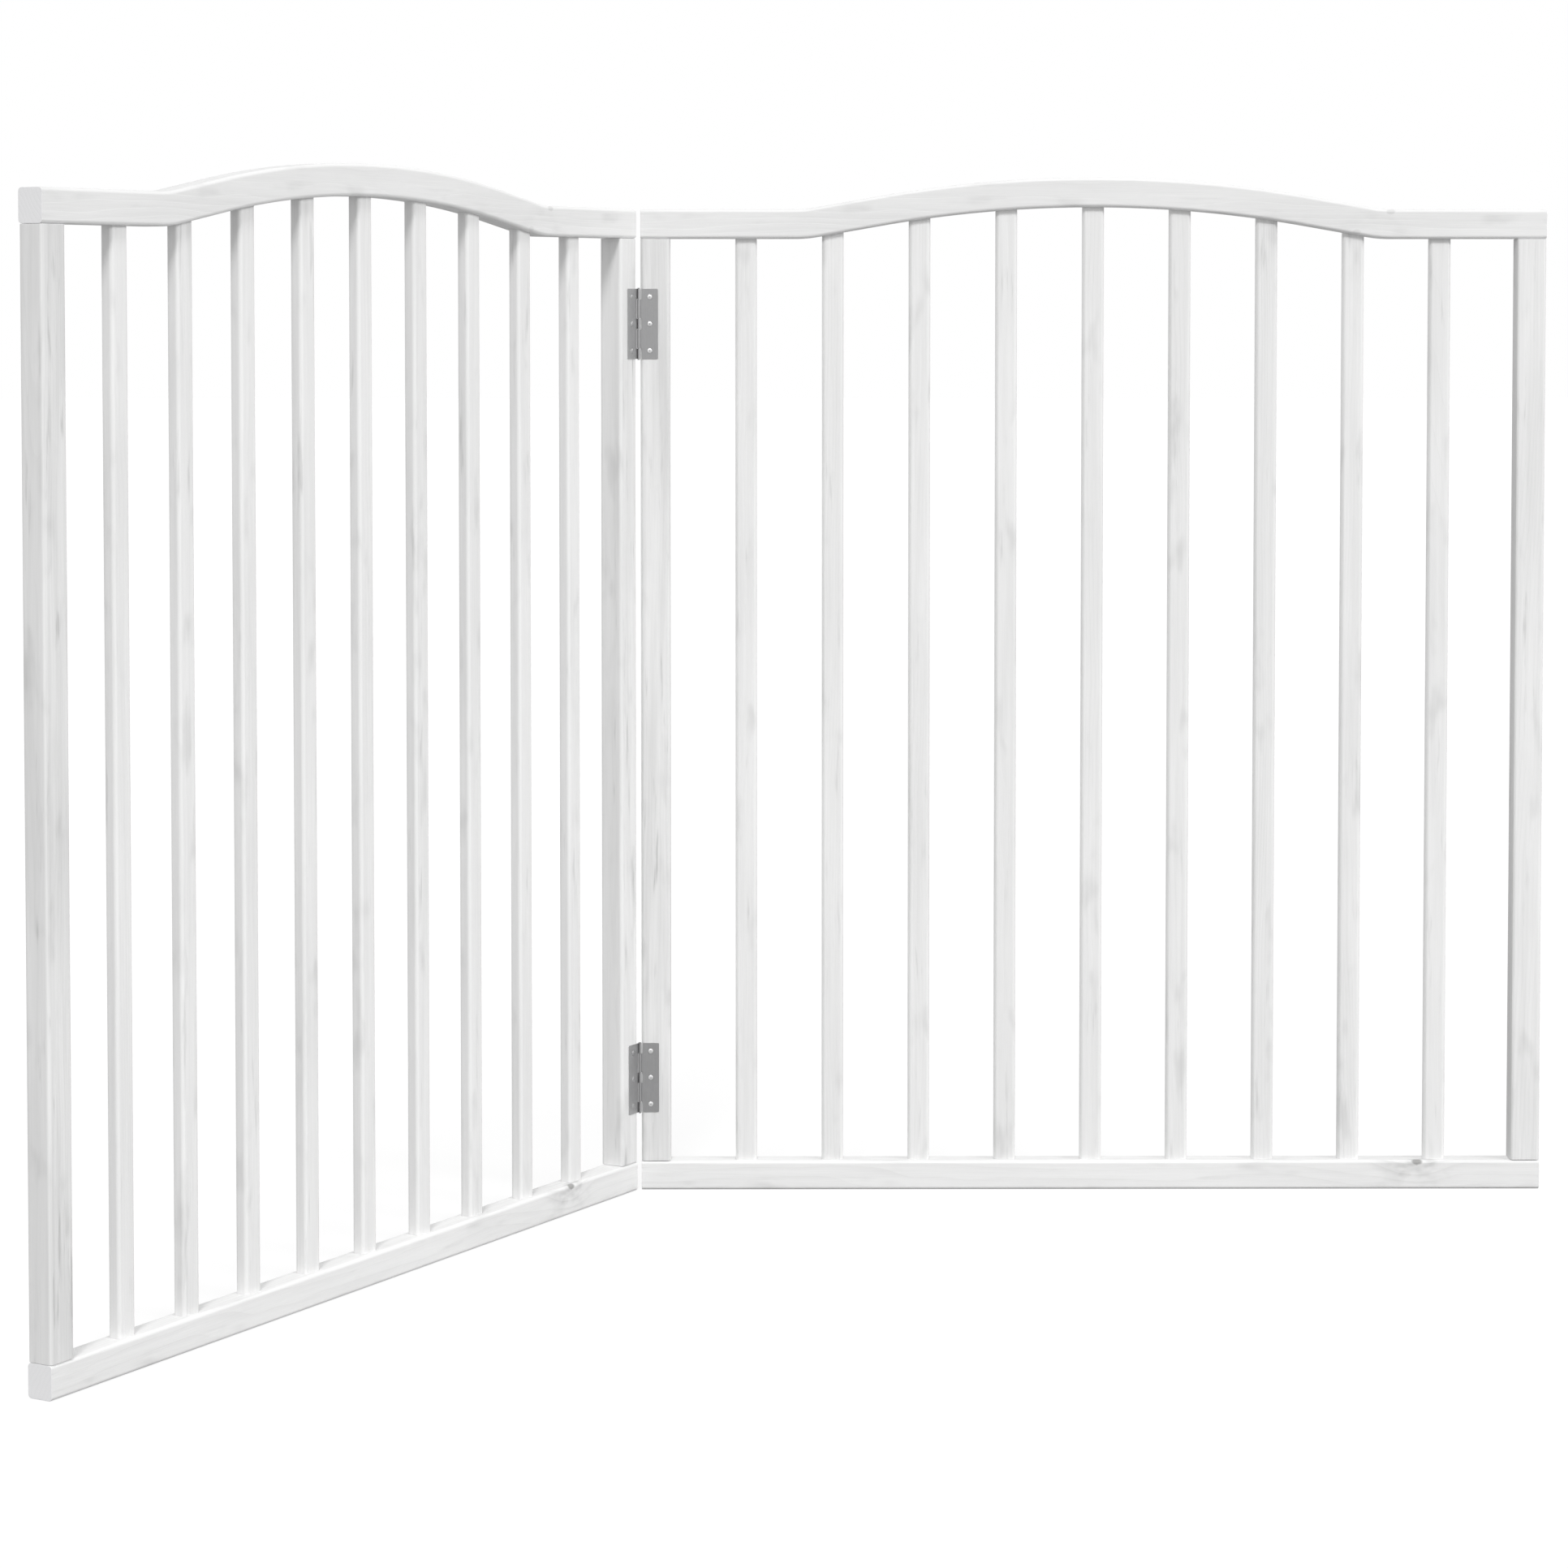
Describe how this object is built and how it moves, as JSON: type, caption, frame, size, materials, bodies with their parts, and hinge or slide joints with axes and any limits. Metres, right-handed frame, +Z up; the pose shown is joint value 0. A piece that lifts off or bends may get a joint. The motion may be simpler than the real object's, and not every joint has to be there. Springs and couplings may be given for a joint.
{
  "type": "pet gate",
  "caption": "Free-standing folding pet gate with slatted, arched white wooden panels joined by steel butt hinges, for closing off a doorway or passage.",
  "frame": {"origin": "on the floor, under the middle of the gate's bounding box at rest", "axes": "+X along the right panel, away from the hinges; +Y from the front of the right panel to its back; +Z up"},
  "size_m": [1.2224, 0.7168, 0.9],
  "materials": {
    "painted_wood": "satin white wash over fine softwood grain",
    "bare_wood": "raw",
    "hinge_steel": "satin zinc-plated"
  },
  "bodies": {
    "right_panel": {"right_top_rail": "painted_wood", "right_bottom_rail": "painted_wood", "right_hinge_post": "painted_wood", "right_end_post": "painted_wood", "right_slat_1": "painted_wood", "right_slat_2": "painted_wood", "right_slat_3": "painted_wood", "right_slat_4": "painted_wood", "right_slat_5": "painted_wood", "right_slat_6": "painted_wood", "right_slat_7": "painted_wood", "right_slat_8": "painted_wood", "right_slat_9": "painted_wood", "right_bottom_hinge_dowel": "bare_wood", "right_top_hinge_dowel": "bare_wood", "right_bottom_end_dowel": "bare_wood", "right_top_end_dowel": "bare_wood", "lower_hinge_right_leaf": "hinge_steel", "lower_hinge_right_screw_1": "hinge_steel", "lower_hinge_right_screw_2": "hinge_steel", "lower_hinge_right_screw_3": "hinge_steel", "lower_hinge_pin": "hinge_steel", "upper_hinge_right_leaf": "hinge_steel", "upper_hinge_right_screw_1": "hinge_steel", "upper_hinge_right_screw_2": "hinge_steel", "upper_hinge_right_screw_3": "hinge_steel", "upper_hinge_pin": "hinge_steel"},
    "left_panel": {"left_top_rail": "painted_wood", "left_bottom_rail": "painted_wood", "left_hinge_post": "painted_wood", "left_end_post": "painted_wood", "left_slat_1": "painted_wood", "left_slat_2": "painted_wood", "left_slat_3": "painted_wood", "left_slat_4": "painted_wood", "left_slat_5": "painted_wood", "left_slat_6": "painted_wood", "left_slat_7": "painted_wood", "left_slat_8": "painted_wood", "left_slat_9": "painted_wood", "left_bottom_hinge_dowel": "bare_wood", "left_top_hinge_dowel": "bare_wood", "left_bottom_end_dowel": "bare_wood", "left_top_end_dowel": "bare_wood", "lower_hinge_left_leaf": "hinge_steel", "lower_hinge_left_screw_1": "hinge_steel", "lower_hinge_left_screw_2": "hinge_steel", "lower_hinge_left_screw_3": "hinge_steel", "upper_hinge_left_leaf": "hinge_steel", "upper_hinge_left_screw_1": "hinge_steel", "upper_hinge_left_screw_2": "hinge_steel", "upper_hinge_left_screw_3": "hinge_steel"}
  },
  "joints": [
    {"name": "panel_fold", "type": "hinge", "parent": "right_panel", "child": "left_panel", "pos_m": [-0.19031, 0.33512, 0.436], "axis": [0, 0, 1], "range_deg": [-60, 120]}
  ]
}
